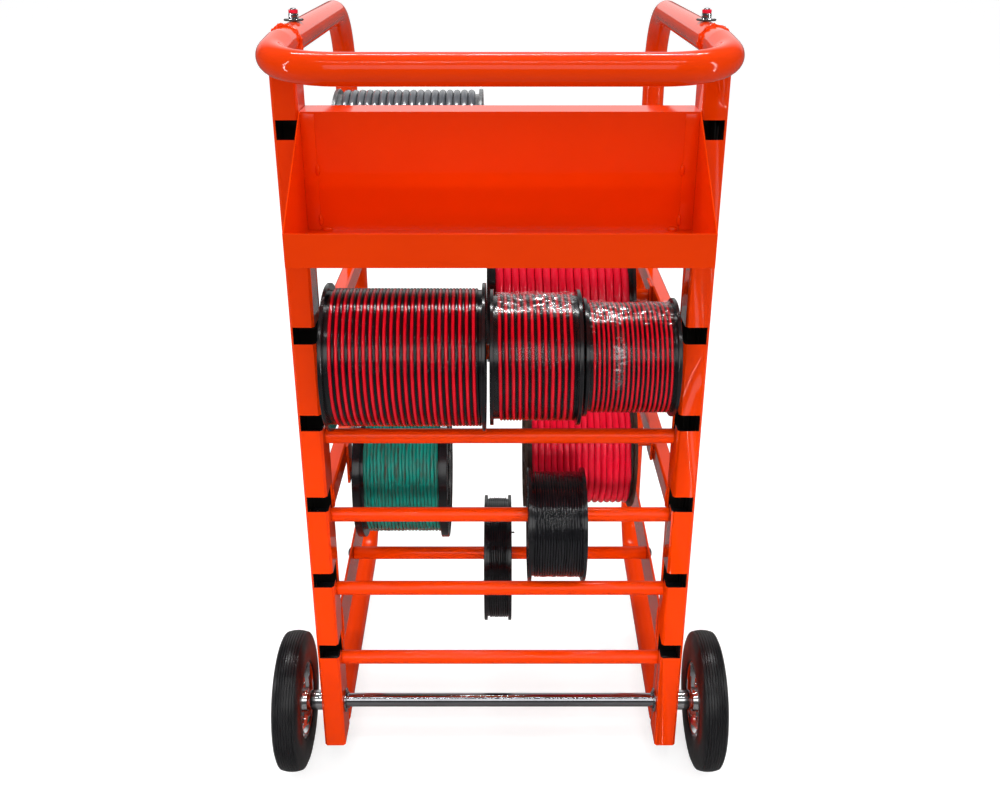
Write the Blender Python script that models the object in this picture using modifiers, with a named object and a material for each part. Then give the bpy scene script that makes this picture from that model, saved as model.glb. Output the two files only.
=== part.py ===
import bpy
import bmesh
import math
from mathutils import Matrix, Vector

for old in list(bpy.data.objects):
    bpy.data.objects.remove(old, do_unlink=True)

# Driving dimensions, in metres. Frame coordinates: X to the right, Y from the posts' front faces
# towards the rear, Z along the posts from the level of the tyres' lowest points.
FRAME_WIDTH = 0.650
FRAME_DEPTH = 0.655
LEAN = math.radians(5.0)
CLEARANCE = 0.0003

POST_WIDTH = 0.038
POST_DEPTH = 0.064
POST_WALL = 0.003
POST_CORNER = 0.004
POST_BOTTOM = 0.047

PIPE_DIAMETER = 0.0424
PIPE_WALL = 0.0026
PIPE_BEND = 0.130
RAIL_HEIGHT = 1.291
BASE_HEIGHT = 0.061

HANDLE_REACH = 0.150
HANDLE_BEND = 0.100
HANDLE_JOINT = 0.045
HANDLE_KNEE = 0.005

ROD_DIAMETER = 0.025
ROD_WALL = 0.003
ROD_END_GAP = 0.003
SLOT_WIDTH = 0.028
SLOT_DROP = 0.041
SLOT_REACH = 0.041
SLOT_EDGE = 0.0038
SLOT_LOWEST = 0.260
SLOT_PITCH = 0.150
SLOT_TOP = 1.175
ROD_LEVELS = 5

SIDE_RAIL_WIDTH = 0.025
SIDE_RAIL_HEIGHT = 0.040
SIDE_RAIL_WALL = 0.0025
SIDE_RAIL_CORNER = 0.003
SIDE_RAIL_TOPS = {"lower": 0.557, "middle": 0.819, "upper": 1.100}

BAR_THICKNESS = 0.004
BAR_HEIGHT = 0.080
BAR_TOP = 0.315
RUNG_Y = 0.249
RUNG_DROP = 0.022
BOLT_DIAMETER = 0.012
RAIL_BOLT_Y = 0.125
RAIL_BOLT_FLANGE = 0.026
RAIL_BOLT_HEAD = 0.015
RAIL_BOLT_HEIGHT = 0.018
WASHER_THICKNESS = 0.003
WASHER_DIAMETER = 0.044
SLEEVE_DIAMETER = 0.036
CAP_DIAMETER = 0.038
PIN_DIAMETER = 0.0045

TRAY_SHEET = 0.002
TRAY_FLOOR = 1.029
TRAY_TOP = 1.201
TRAY_REACH = 0.184
TRAY_LIP = 0.045
TRAY_FLANGE = 0.056
TRAY_TUCK = 0.020

WHEEL_RADIUS = 0.127
TYRE_WIDTH = 0.050
WHEEL_STANDOFF = 0.053
RIM_RADIUS = 0.070
HUB_LENGTH = 0.048
AXLE_DIAMETER = 0.025
AXLE_Y = 0.032

FOOT_SETBACK = 0.020
FOOT_PAD = 0.036
FOOT_PAD_HEIGHT = 0.012
FOOT_STEM = 0.018

SPOOL_WALL = 0.006
THICK_WALL = {"green": 0.014}
SPOOL_BORE = 0.0456
WIDE_BORE = {"dark": 0.064}
SPOOL_PLAY = 0.0006
PLATE_THICKNESS = 0.005
PLATE_DEPTH = 0.050
PLATE_INSET = 0.0015
STUB_INSET = 0.010

# Spools: the ends of each as shares of the rack's inside half width, then its flange and coil radii.
SPOOL_ENDS = {"front_left": (-0.955, -0.077), "front_middle": (-0.056, 0.4425),
              "front_right": (0.4565, 0.9685), "dark": (0.164, 0.502), "narrow": (-0.1045, 0.0765),
              "green": (-0.9235, -0.331), "low_red": (0.153, 0.8605), "high_red": (-0.0835, 0.8605),
              "grey": (-0.9095, -0.094)}
FLANGE_RADIUS = {"front_left": 0.119, "front_middle": 0.109, "front_right": 0.095, "dark": 0.0975,
                 "narrow": 0.122, "green": 0.1265, "low_red": 0.118, "high_red": 0.119, "grey": 0.105}
COIL_RADIUS = {"front_left": 0.111, "front_middle": 0.102, "front_right": 0.089, "dark": 0.091,
               "narrow": 0.117, "green": 0.116, "low_red": 0.111, "high_red": 0.110, "grey": 0.104}
COIL_LOOPS = {"front_left": 20, "front_middle": 12, "front_right": 13}
# Rear spindles: the side that carries each, its Y and Z, and the side rail that it stands on.
SPINDLE_SIDE = {"green": -1, "low_red": 1, "high_red": 1, "grey": -1}
SPINDLE_Y = {"green": 0.250, "low_red": 0.265, "high_red": 0.400, "grey": 0.200}
SPINDLE_Z = {"green": 0.503, "low_red": 0.550, "high_red": 0.791, "grey": 1.107}
SPINDLE_RAIL = {"green": "lower", "low_red": "lower", "high_red": "middle", "grey": "upper"}

PIPE_SIDES = 12
TURN_STEPS = 16
WHEEL_STEPS = 24
BEND_STEPS = 5
SLOT_STEPS = 8
LOOP_POINTS = 14
PIPE_ROUNDING = 4

# Lengths that follow from the driving dimensions.
POST_OUT = FRAME_WIDTH / 2
WHEEL_X = POST_OUT + WHEEL_STANDOFF
FOOT_Y = FRAME_DEPTH - PIPE_BEND - FOOT_SETBACK
POST_IN = POST_OUT - POST_WIDTH
PIPE_X = POST_OUT - POST_WIDTH / 2
PIPE_RADIUS = PIPE_DIAMETER / 2
ROD_RADIUS = ROD_DIAMETER / 2
AXLE_RADIUS = AXLE_DIAMETER / 2
HOLE_RADIUS = AXLE_RADIUS + CLEARANCE
SLOPE = math.tan(LEAN)
RUNG_Z = BAR_TOP + (RUNG_Y - POST_DEPTH) * SLOPE - RUNG_DROP
SLOT_HEIGHTS = [SLOT_LOWEST + level * SLOT_PITCH for level in range(ROD_LEVELS)] + [SLOT_TOP]
REST_DROP = SLOT_DROP + (SLOT_WIDTH - ROD_DIAMETER) / 2 - CLEARANCE
ROD_HEIGHTS = [height - REST_DROP for height in SLOT_HEIGHTS[:ROD_LEVELS]]
TRAY_SIDE_OUT = POST_IN - CLEARANCE
TRAY_SIDE_IN = TRAY_SIDE_OUT - TRAY_SHEET
FRONT_EDGE = (-(TRAY_REACH + AXLE_Y) * math.cos(LEAN)
              + (TRAY_FLOOR - TRAY_SHEET - WHEEL_RADIUS) * math.sin(LEAN))
REAR_EDGE = ((FRAME_DEPTH + PIPE_RADIUS - AXLE_Y) * math.cos(LEAN)
             + (RAIL_HEIGHT - PIPE_BEND - WHEEL_RADIUS) * math.sin(LEAN))
AXLE_WORLD_Y = -(FRONT_EDGE + REAR_EDGE) / 2

HANDS = ((-1, "left"), (1, "right"))

cart = bpy.data.collections.new("wire_spool_cart")
bpy.context.scene.collection.children.link(cart)
tools = bpy.data.collections.new("cutters")
bpy.context.scene.collection.children.link(tools)

lean_turn = Matrix.Rotation(-LEAN, 4, "X")
lean_place = Vector((0, AXLE_WORLD_Y, WHEEL_RADIUS)) - lean_turn @ Vector((0, AXLE_Y, WHEEL_RADIUS))
lean = bpy.data.objects.new("cart_lean", None)
lean.location = lean_place
lean.rotation_euler = (-LEAN, 0, 0)
cart.objects.link(lean)


def paint(name, color, roughness, metallic):
    made = bpy.data.materials.new(name)
    made.use_nodes = True
    shader = made.node_tree.nodes["Principled BSDF"]
    shader.inputs["Base Color"].default_value = (*color, 1)
    shader.inputs["Roughness"].default_value = roughness
    shader.inputs["Metallic"].default_value = metallic
    return made


ORANGE = (0.75, 0.045, 0.002)
ZINC = (0.62, 0.63, 0.65)
BLACK = (0.015, 0.015, 0.016)


def place(made, name, color, roughness, metallic, at=(0, 0, 0), upright=False):
    made.name = name
    made.data.materials.clear()
    made.data.materials.append(paint(name + "_finish", color, roughness, metallic))
    made.location = at
    if not upright:
        made.parent = lean
    cart.objects.link(made)
    return made


def painted(made, name, at=(0, 0, 0)):
    return place(made, name, ORANGE, 0.3, 0.0, at)


def plated(made, name, at=(0, 0, 0), upright=False):
    return place(made, name, ZINC, 0.3, 1.0, at, upright)


def from_bmesh(shape, name):
    bmesh.ops.recalc_face_normals(shape, faces=shape.faces)
    mesh = bpy.data.meshes.new(name)
    shape.to_mesh(mesh)
    shape.free()
    return bpy.data.objects.new(name, mesh)


def block(name, low, high):
    shape = bmesh.new()
    bmesh.ops.create_cube(shape, size=1)
    middle = (Vector(low) + Vector(high)) / 2
    span = Vector(high) - Vector(low)
    sizing = Matrix.Translation(middle) @ Matrix.Diagonal((*span, 1))
    bmesh.ops.transform(shape, matrix=sizing, verts=shape.verts)
    return from_bmesh(shape, name)


def flat_shape(name, loops, low, high, axis):
    # Loops lie in the plane square to the axis and run from low to high along it.
    curve = bpy.data.curves.new(name, "CURVE")
    curve.dimensions = "2D"
    curve.fill_mode = "BOTH"
    curve.extrude = (high - low) / 2
    for loop in loops:
        spline = curve.splines.new("POLY")
        spline.points.add(len(loop) - 1)
        for spot, (u, v) in zip(spline.points, loop):
            spot.co = (u, v, 0, 1)
        spline.use_cyclic_u = True
    drawn = bpy.data.objects.new(name, curve)
    bpy.context.scene.collection.objects.link(drawn)
    bpy.context.view_layer.update()
    evaluated = drawn.evaluated_get(bpy.context.evaluated_depsgraph_get())
    mesh = bpy.data.meshes.new_from_object(evaluated)
    bpy.data.objects.remove(drawn, do_unlink=True)
    middle = (low + high) / 2
    turns = {
        "X": Matrix(((0, 0, 1, middle), (1, 0, 0, 0), (0, 1, 0, 0), (0, 0, 0, 1))),
        "Y": Matrix(((1, 0, 0, 0), (0, 0, -1, middle), (0, 1, 0, 0), (0, 0, 0, 1))),
        "Z": Matrix.Translation((0, 0, middle)),
    }
    shape = bmesh.new()
    shape.from_mesh(mesh)
    bmesh.ops.remove_doubles(shape, verts=shape.verts, dist=0.00001)
    bmesh.ops.transform(shape, matrix=turns[axis], verts=shape.verts)
    bmesh.ops.recalc_face_normals(shape, faces=shape.faces)
    shape.to_mesh(mesh)
    shape.free()
    return bpy.data.objects.new(name, mesh)


def joined(name, pieces):
    shape = bmesh.new()
    for piece in pieces:
        start = len(shape.verts)
        shape.from_mesh(piece.data)
        shape.verts.ensure_lookup_table()
        moved = shape.verts[start:]
        bmesh.ops.transform(shape, matrix=Matrix.Translation(piece.location), verts=moved)
        bpy.data.objects.remove(piece, do_unlink=True)
    return from_bmesh(shape, name)


def cut(made, cutter):
    cutter.hide_render = True
    cutter.display_type = "WIRE"
    cutter.parent = made.parent
    tools.objects.link(cutter)
    step = made.modifiers.new("cut", "BOOLEAN")
    step.operation = "DIFFERENCE"
    step.solver = "EXACT"
    step.object = cutter


def merge(made, other):
    other.hide_render = True
    other.display_type = "WIRE"
    other.parent = made.parent
    tools.objects.link(other)
    step = made.modifiers.new("weld", "BOOLEAN")
    step.operation = "UNION"
    step.solver = "EXACT"
    step.object = other


def turned(name, profile, steps, closed=True):
    # Profile pairs are (along X, radius); the outer side runs from +X to -X.
    mesh = bpy.data.meshes.new(name)
    spots = [(along, radius, 0) for along, radius in profile]
    links = [(i, i + 1) for i in range(len(spots) - 1)]
    if closed:
        links.append((len(spots) - 1, 0))
    mesh.from_pydata(spots, links, [])
    made = bpy.data.objects.new(name, mesh)
    spin = made.modifiers.new("turn", "SCREW")
    spin.axis = "X"
    spin.steps = steps
    spin.render_steps = steps
    spin.use_merge_vertices = True
    spin.merge_threshold = 0.00001
    spin.use_smooth_shade = False
    return made


def ring(name, outer, inner, low, high, steps):
    return turned(name, [(high, outer), (low, outer), (low, inner), (high, inner)], steps)


def drum(name, radius, low, high, sides):
    shape = bmesh.new()
    place_x = Matrix.Translation(((low + high) / 2, 0, 0)) @ Matrix.Rotation(math.pi / 2, 4, "Y")
    bmesh.ops.create_cone(shape, cap_ends=True, segments=sides, radius1=radius, radius2=radius,
                          depth=high - low, matrix=place_x)
    return from_bmesh(shape, name)


def rounded(corners, radius, steps):
    # The open polyline through the corners, each inner corner eased by an arc.
    path = [Vector(corners[0])]
    for before, corner, after in zip(corners, corners[1:], corners[2:]):
        corner = Vector(corner)
        toward = (Vector(before) - corner).normalized()
        onward = (Vector(after) - corner).normalized()
        half = toward.angle(onward) / 2
        middle = corner + (toward + onward).normalized() * radius / math.sin(half)
        start = corner + toward * radius / math.tan(half)
        end = corner + onward * radius / math.tan(half)
        first = start - middle
        sweep = first.angle(end - middle)
        side = (end - middle - first * math.cos(sweep)).normalized() * radius
        for step in range(steps + 1):
            turn = sweep * step / steps
            path.append(middle + first * math.cos(turn) + side * math.sin(turn))
    path.append(Vector(corners[-1]))
    return path


def pipe(name, path, diameter, wall, resolution):
    curve = bpy.data.curves.new(name, "CURVE")
    curve.dimensions = "3D"
    curve.bevel_depth = diameter / 2
    curve.bevel_resolution = resolution
    curve.use_fill_caps = wall is None
    spline = curve.splines.new("POLY")
    spline.points.add(len(path) - 1)
    for spot, where in zip(spline.points, path):
        spot.co = (*where, 1)
    made = bpy.data.objects.new(name, curve)
    if wall is not None:
        shell = made.modifiers.new("wall", "SOLIDIFY")
        shell.thickness = wall
        shell.offset = -1
    return made


def box_loop(half_u, half_v, corner=0):
    # A rectangle, its corners eased by a flat when a corner size is given.
    loop = []
    for sign_u, sign_v in ((1, 1), (-1, 1), (-1, -1), (1, -1)):
        near = (sign_u * half_u, sign_v * (half_v - corner))
        far = (sign_u * (half_u - corner), sign_v * half_v)
        if corner == 0:
            loop.append(near)
        else:
            loop += [near, far] if sign_u * sign_v > 0 else [far, near]
    return loop


def slot_loop(height):
    half = SLOT_WIDTH / 2
    bottom = height - SLOT_DROP
    loop = [(-half, height + half), (SLOT_REACH + half, height + half)]
    for step in range(SLOT_STEPS + 1):
        turn = math.pi * step / SLOT_STEPS
        loop.append((SLOT_REACH + half * math.cos(turn), bottom - half * math.sin(turn)))
    loop += [(SLOT_REACH - half, height - half), (-half, height - half)]
    return loop


for side, hand in HANDS:
    outer_loop = [(u + side * PIPE_X, v + POST_DEPTH / 2)
                  for u, v in box_loop(POST_WIDTH / 2, POST_DEPTH / 2, POST_CORNER)]
    inner_loop = [(u + side * PIPE_X, v + POST_DEPTH / 2)
                  for u, v in box_loop(POST_WIDTH / 2 - POST_WALL, POST_DEPTH / 2 - POST_WALL)]
    post_top = RAIL_HEIGHT - PIPE_RADIUS / 2
    post = flat_shape("post", [outer_loop, inner_loop], POST_BOTTOM, post_top, "Z")
    painted(post, hand + "_upright")
    slot_ends = sorted((side * (POST_IN - POST_WALL), side * (POST_OUT - SLOT_EDGE)))
    slots = [flat_shape("slot", [slot_loop(height)], *slot_ends, "X") for height in SLOT_HEIGHTS]
    axle_hole = drum("hole", HOLE_RADIUS, -POST_WIDTH, POST_WIDTH, TURN_STEPS)
    axle_hole.location = (side * PIPE_X, AXLE_Y, WHEEL_RADIUS)
    cut(post, joined(hand + "_post_slots", slots + [axle_hole]))
    saddle_shape = drum("saddle", PIPE_RADIUS + CLEARANCE, -POST_DEPTH, POST_DEPTH, PIPE_SIDES * 2)
    saddle_shape.data.transform(Matrix.Rotation(math.pi / 2, 4, "Z"))
    saddle_shape.location = (side * PIPE_X, POST_DEPTH / 2, RAIL_HEIGHT)
    cut(post, joined(hand + "_post_saddle", [saddle_shape]))

    base_rear = BASE_HEIGHT + (FRAME_DEPTH - POST_DEPTH) * SLOPE
    hoop_corners = [(side * PIPE_X, HANDLE_JOINT, RAIL_HEIGHT), (side * PIPE_X, FRAME_DEPTH, RAIL_HEIGHT),
                    (side * PIPE_X, FRAME_DEPTH, base_rear),
                    (side * PIPE_X, POST_DEPTH + 2 * CLEARANCE + PIPE_RADIUS * SLOPE, BASE_HEIGHT)]
    hoop_path = rounded(hoop_corners, PIPE_BEND, BEND_STEPS)
    painted(pipe("hoop", hoop_path, PIPE_DIAMETER, PIPE_WALL, PIPE_ROUNDING), hand + "_side_hoop")

    for level, top in SIDE_RAIL_TOPS.items():
        outer_loop = box_loop(SIDE_RAIL_WIDTH / 2, SIDE_RAIL_HEIGHT / 2, SIDE_RAIL_CORNER)
        inner_loop = box_loop(SIDE_RAIL_WIDTH / 2 - SIDE_RAIL_WALL, SIDE_RAIL_HEIGHT / 2 - SIDE_RAIL_WALL)
        rail_end = FRAME_DEPTH - PIPE_RADIUS - CLEARANCE
        rail = flat_shape("rail", [outer_loop, inner_loop], POST_DEPTH + CLEARANCE, rail_end, "Y")
        rail.data.transform(Matrix.Translation((side * (POST_IN + SIDE_RAIL_WIDTH / 2), 0,
                                                top - SIDE_RAIL_HEIGHT / 2)))
        painted(rail, hand + "_" + level + "_side_rail")

    bar_gap = PIPE_X - POST_IN - BAR_THICKNESS
    bar_end = FRAME_DEPTH - math.sqrt(PIPE_RADIUS ** 2 - bar_gap ** 2) - CLEARANCE
    bar_start = POST_DEPTH + CLEARANCE
    bar_rise = (bar_end - bar_start) * SLOPE
    bar_loop = [(bar_start, BAR_TOP - BAR_HEIGHT), (bar_end, BAR_TOP - BAR_HEIGHT + bar_rise),
                (bar_end, BAR_TOP + bar_rise), (bar_start, BAR_TOP)]
    bar_sides = sorted((side * POST_IN, side * (POST_IN + BAR_THICKNESS)))
    bar = flat_shape("bar", [bar_loop], *bar_sides, "X")
    painted(bar, hand + "_rung_bar")
    bar_hole = drum("hole", BOLT_DIAMETER / 2 + CLEARANCE, -BAR_HEIGHT / 4, BAR_HEIGHT / 4, PIPE_SIDES)
    bar_hole.location = (side * POST_IN, RUNG_Y, RUNG_Z)
    cut(bar, joined(hand + "_bar_hole", [bar_hole]))

knee = RAIL_HEIGHT - (HANDLE_REACH - HANDLE_KNEE) * SLOPE
handle_corners = [(-PIPE_X, -HANDLE_KNEE, RAIL_HEIGHT), (-PIPE_X, -HANDLE_REACH, knee),
                  (PIPE_X, -HANDLE_REACH, knee), (PIPE_X, -HANDLE_KNEE, RAIL_HEIGHT)]
handle_path = rounded(handle_corners, HANDLE_BEND, BEND_STEPS)
handle_ends = [Vector((-PIPE_X, HANDLE_JOINT - CLEARANCE, RAIL_HEIGHT)),
               Vector((PIPE_X, HANDLE_JOINT - CLEARANCE, RAIL_HEIGHT))]
handle_path = handle_ends[:1] + handle_path + handle_ends[1:]
painted(pipe("handle", handle_path, PIPE_DIAMETER, PIPE_WALL, PIPE_ROUNDING), "handle_loop")

pan_floor = TRAY_FLOOR - TRAY_SHEET
pan_loop = [(TRAY_FLANGE, TRAY_TOP), (0, TRAY_TOP), (0, TRAY_FLOOR), (TRAY_SHEET - TRAY_REACH, TRAY_FLOOR),
            (TRAY_SHEET - TRAY_REACH, TRAY_FLOOR + TRAY_LIP), (-TRAY_REACH, TRAY_FLOOR + TRAY_LIP),
            (-TRAY_REACH, pan_floor), (TRAY_SHEET, pan_floor), (TRAY_SHEET, TRAY_TOP - TRAY_SHEET),
            (TRAY_FLANGE, TRAY_TOP - TRAY_SHEET)]
pan_half = TRAY_SIDE_OUT - TRAY_SHEET / 2
tray = painted(flat_shape("pan", [pan_loop], -pan_half, pan_half, "X"), "tray")
tray_loop = [(TRAY_TUCK, pan_floor), (-TRAY_REACH, pan_floor), (-TRAY_REACH, TRAY_FLOOR + TRAY_LIP),
             (0, TRAY_TOP), (TRAY_TUCK, TRAY_TOP)]
for side, hand in HANDS:
    tray_sides = sorted((side * TRAY_SIDE_IN, side * TRAY_SIDE_OUT))
    merge(tray, flat_shape(hand + "_tray_end", [tray_loop], *tray_sides, "X"))

rung_half = POST_IN - CLEARANCE
painted(ring("rung", ROD_RADIUS, BOLT_DIAMETER / 2 + CLEARANCE, -rung_half, rung_half, PIPE_SIDES),
        "rear_rung", (0, RUNG_Y, RUNG_Z))


def handed(profile, side):
    # The profile as drawn for the right hand, or its mirror for the left.
    return profile if side > 0 else [(-along, radius) for along, radius in reversed(profile)]


def hand_ring(outer, inner, low, high):
    return [(high, outer), (low, outer), (low, inner), (high, inner)]


bolt_head = BOLT_DIAMETER * 0.6
bolt_x = POST_IN + BAR_THICKNESS + CLEARANCE
bolt_profile = [(bolt_head, 0), (bolt_head * 0.8, BOLT_DIAMETER * 0.6), (0, BOLT_DIAMETER),
                (0, BOLT_DIAMETER / 2), (-BAR_HEIGHT / 3, BOLT_DIAMETER / 2), (-BAR_HEIGHT / 3, 0)]
rail_bolt_z = RAIL_HEIGHT + PIPE_RADIUS + CLEARANCE
rail_bolt_profile = [(RAIL_BOLT_HEIGHT, 0), (RAIL_BOLT_HEIGHT, RAIL_BOLT_HEAD / 2),
                     (WASHER_THICKNESS, RAIL_BOLT_HEAD / 2), (WASHER_THICKNESS, RAIL_BOLT_FLANGE / 2),
                     (0, RAIL_BOLT_FLANGE / 2), (0, 0)]
hub_out = WHEEL_X + HUB_LENGTH / 2
axle_end = hub_out + 2 * CLEARANCE + WASHER_THICKNESS
axle_at = (0, AXLE_Y, WHEEL_RADIUS)
axle = plated(drum("axle", AXLE_RADIUS, -axle_end, axle_end, TURN_STEPS), "axle", axle_at)
washer_out = POST_IN - CLEARANCE
washer_in = washer_out - WASHER_THICKNESS
pin_radius = PIN_DIAMETER / 2
pin_x = washer_in - CLEARANCE - pin_radius
pin_reach = AXLE_RADIUS + 2 * WASHER_THICKNESS
cap_in = hub_out + CLEARANCE
cap_out = axle_end + WASHER_THICKNESS
cap_profile = [(cap_out, 0), (cap_out, CAP_DIAMETER * 0.28), (axle_end, CAP_DIAMETER * 0.45),
               (cap_in, CAP_DIAMETER / 2), (cap_in, HOLE_RADIUS), (axle_end + CLEARANCE, HOLE_RADIUS),
               (axle_end + CLEARANCE, 0)]
upward = (0, -math.pi / 2, 0)
for side, hand in HANDS:
    plated(turned("bolt", handed(bolt_profile, side), PIPE_SIDES, closed=False), hand + "_rung_bolt",
           (side * bolt_x, RUNG_Y, RUNG_Z))
    rail_bolt = turned("bolt", rail_bolt_profile, PIPE_SIDES, closed=False)
    rail_bolt.rotation_euler = upward
    plated(rail_bolt, hand + "_rail_bolt", (side * PIPE_X, RAIL_BOLT_Y, rail_bolt_z))
    washer = hand_ring(WASHER_DIAMETER / 2, HOLE_RADIUS, washer_in, washer_out)
    plated(turned("washer", handed(washer, side), TURN_STEPS), hand + "_axle_washer", axle_at)
    plated(turned("cap", handed(cap_profile, side), TURN_STEPS, closed=False), hand + "_axle_cap", axle_at)
    hole = drum(hand + "_pin_hole", pin_radius + CLEARANCE, -AXLE_DIAMETER, AXLE_DIAMETER, PIPE_SIDES)
    hole.data.transform(Matrix.Rotation(math.pi / 2, 4, "Y"))
    hole.location = (side * pin_x, AXLE_Y, WHEEL_RADIUS)
    cut(axle, hole)
    pin = drum("pin", pin_radius, -pin_reach, pin_reach, PIPE_SIDES)
    pin.data.transform(Matrix.Rotation(math.pi / 2, 4, "Y"))
    plated(pin, hand + "_split_pin", (side * pin_x, AXLE_Y, WHEEL_RADIUS))

half_tyre = TYRE_WIDTH / 2
tread = [(0.82, 0.0), (1.0, 0.27), (1.0, 0.62), (0.72, 0.93), (0.27, 1.0)]
tyre_profile = [(half_tyre * across, RIM_RADIUS + (WHEEL_RADIUS - RIM_RADIUS) * up) for across, up in tread]
tyre_profile += [(-across, radius) for across, radius in reversed(tyre_profile)]
rim_edge = RIM_RADIUS - CLEARANCE
half_hub = HUB_LENGTH / 2
disc_half = WASHER_THICKNESS
sleeve_end = POST_OUT + CLEARANCE - WHEEL_X
rim_lip = half_tyre * 0.8
rim_profile = [(half_hub, HOLE_RADIUS), (half_hub, AXLE_DIAMETER), (disc_half, AXLE_DIAMETER * 1.12),
               (disc_half, rim_edge * 0.87), (rim_lip, rim_edge * 0.96), (rim_lip, rim_edge),
               (-rim_lip, rim_edge), (-rim_lip, rim_edge * 0.96), (-disc_half, rim_edge * 0.87),
               (-disc_half, AXLE_DIAMETER * 1.12), (-half_hub, AXLE_DIAMETER),
               (-half_hub, SLEEVE_DIAMETER / 2), (sleeve_end, SLEEVE_DIAMETER / 2), (sleeve_end, HOLE_RADIUS)]
base_world = lean_turn @ Vector((0, FOOT_Y, BASE_HEIGHT + (FOOT_Y - POST_DEPTH) * SLOPE)) + lean_place
foot_top = base_world.z - PIPE_RADIUS - CLEARANCE
foot_profile = [(foot_top, 0), (foot_top, FOOT_STEM / 2), (FOOT_PAD_HEIGHT, FOOT_STEM / 2),
                (FOOT_PAD_HEIGHT, FOOT_PAD * 0.4), (0, FOOT_PAD / 2), (0, 0)]
for side, hand in HANDS:
    wheel_at = (side * WHEEL_X, AXLE_Y, WHEEL_RADIUS)
    place(turned("tyre", tyre_profile, WHEEL_STEPS), hand + "_tyre", BLACK, 0.85, 0.0, wheel_at)
    plated(turned("rim", handed(rim_profile, side), WHEEL_STEPS), hand + "_rim", wheel_at)
    foot = turned("foot", foot_profile, TURN_STEPS, closed=False)
    foot.rotation_euler = upward
    place(foot, hand + "_rear_foot", BLACK, 0.9, 0.0, (side * PIPE_X, base_world.y, 0), upright=True)

rod_half = POST_OUT - POST_WALL - ROD_END_GAP
rod_names = ["lowest", "low", "middle", "high", "highest"]
for rod_name, height in zip(rod_names, ROD_HEIGHTS):
    painted(ring("rod", ROD_RADIUS, ROD_RADIUS - ROD_WALL, -rod_half, rod_half, TURN_STEPS),
            rod_name + "_rod", (0, SLOT_REACH, height))


def wound_path(radius, loops, pitch, lead):
    # A helix along X that starts and ends with a straight run along its tangent.
    path = []
    for step in range(loops * LOOP_POINTS + 1):
        turn = 2 * math.pi * step / LOOP_POINTS
        along = (step / LOOP_POINTS - loops / 2) * pitch
        path.append(Vector((along, radius * math.cos(turn), radius * math.sin(turn))))
    first = Vector((0, 0, -lead)) + path[0]
    last = Vector((0, 0, lead)) + path[-1]
    return [first] + path + [last]


def least_gap(path, diameter):
    least = None
    for i in range(len(path)):
        for j in range(i + LOOP_POINTS // 2, len(path)):
            apart = (path[i] - path[j]).length - diameter
            least = apart if least is None else min(least, apart)
    return least


def spool(name, rod_at, color):
    # A moulded spool that hangs on a rod and turns about X, its wire wound on it or drawn as one plain layer.
    bore = WIDE_BORE.get(name, SPOOL_BORE) / 2
    wall = THICK_WALL.get(name, SPOOL_WALL)
    hang = bore - ROD_RADIUS - SPOOL_PLAY
    low, high = (share * POST_IN for share in SPOOL_ENDS[name])
    flange = FLANGE_RADIUS[name]
    coil = COIL_RADIUS[name]
    loops = COIL_LOOPS.get(name, 0)
    middle = (low + high) / 2
    half = (high - low) / 2
    inside = half - wall
    where = (middle, rod_at[0], rod_at[1] - hang)
    if loops:
        pitch = (2 * inside - 2 * SPOOL_PLAY) / (loops + 1)
        wire = pitch - 3 * CLEARANCE
        radius = coil - wire / 2
        barrel = radius * math.cos(math.pi / LOOP_POINTS) - wire / 2 - CLEARANCE
        path = wound_path(radius, loops, pitch, wire)
        print(name, "least gap of the winding to itself", round(least_gap(path, wire) * 1000, 3), "mm")
        winding = pipe("winding", path, wire, None, 1)
    else:
        barrel = bore + 2 * SPOOL_WALL
        layer = inside - CLEARANCE
        winding = ring("winding", coil, barrel + CLEARANCE, -layer, layer, TURN_STEPS)
    profile = [(half, bore), (half, flange), (inside, flange), (inside, barrel)]
    profile += [(-along, radius) for along, radius in reversed(profile)]
    place(turned("spool", profile, TURN_STEPS), name + "_spool", BLACK, 0.4, 0.0, where)
    place(winding, name + "_winding", color, 0.5, 0.0, where)


RED = (0.5, 0.02, 0.015)
GREEN = (0.05, 0.3, 0.06)
GREY = (0.35, 0.36, 0.37)
top_rod = (SLOT_REACH, ROD_HEIGHTS[4])
dark_rod = (SLOT_REACH, ROD_HEIGHTS[2])
for name in COIL_LOOPS:
    spool(name, top_rod, RED)
spool("dark", dark_rod, BLACK)
spool("narrow", (RUNG_Y, RUNG_Z), BLACK)

WIRE_COLORS = {"green": GREEN, "low_red": RED, "high_red": RED, "grey": GREY}
plate_out = POST_IN - CLEARANCE
plate_in = plate_out - PLATE_THICKNESS
for name, side in SPINDLE_SIDE.items():
    y = SPINDLE_Y[name]
    z = SPINDLE_Z[name]
    near = min(side * share for share in SPOOL_ENDS[name]) * POST_IN
    spool(name, (y, z), WIRE_COLORS[name])
    rail_top = SIDE_RAIL_TOPS[SPINDLE_RAIL[name]]
    plate_low = min(z - PLATE_DEPTH / 2, rail_top - SIDE_RAIL_HEIGHT + PLATE_INSET)
    plate_high = max(z + PLATE_DEPTH / 2, rail_top - PLATE_INSET)
    plate_x = sorted((side * plate_in, side * plate_out))
    plate = block("plate", (plate_x[0], y - PLATE_DEPTH / 2, plate_low),
                  (plate_x[1], y + PLATE_DEPTH / 2, plate_high))
    painted(plate, name + "_spindle")
    stub_ends = sorted((side * (plate_in + PLATE_THICKNESS / 2), side * (near + STUB_INSET)))
    stub = drum(name + "_stub", ROD_RADIUS, *stub_ends, TURN_STEPS)
    stub.location = (0, y, z)
    merge(plate, stub)
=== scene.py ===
import math
import bpy
import bmesh
from mathutils import Matrix, Vector, noise


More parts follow.
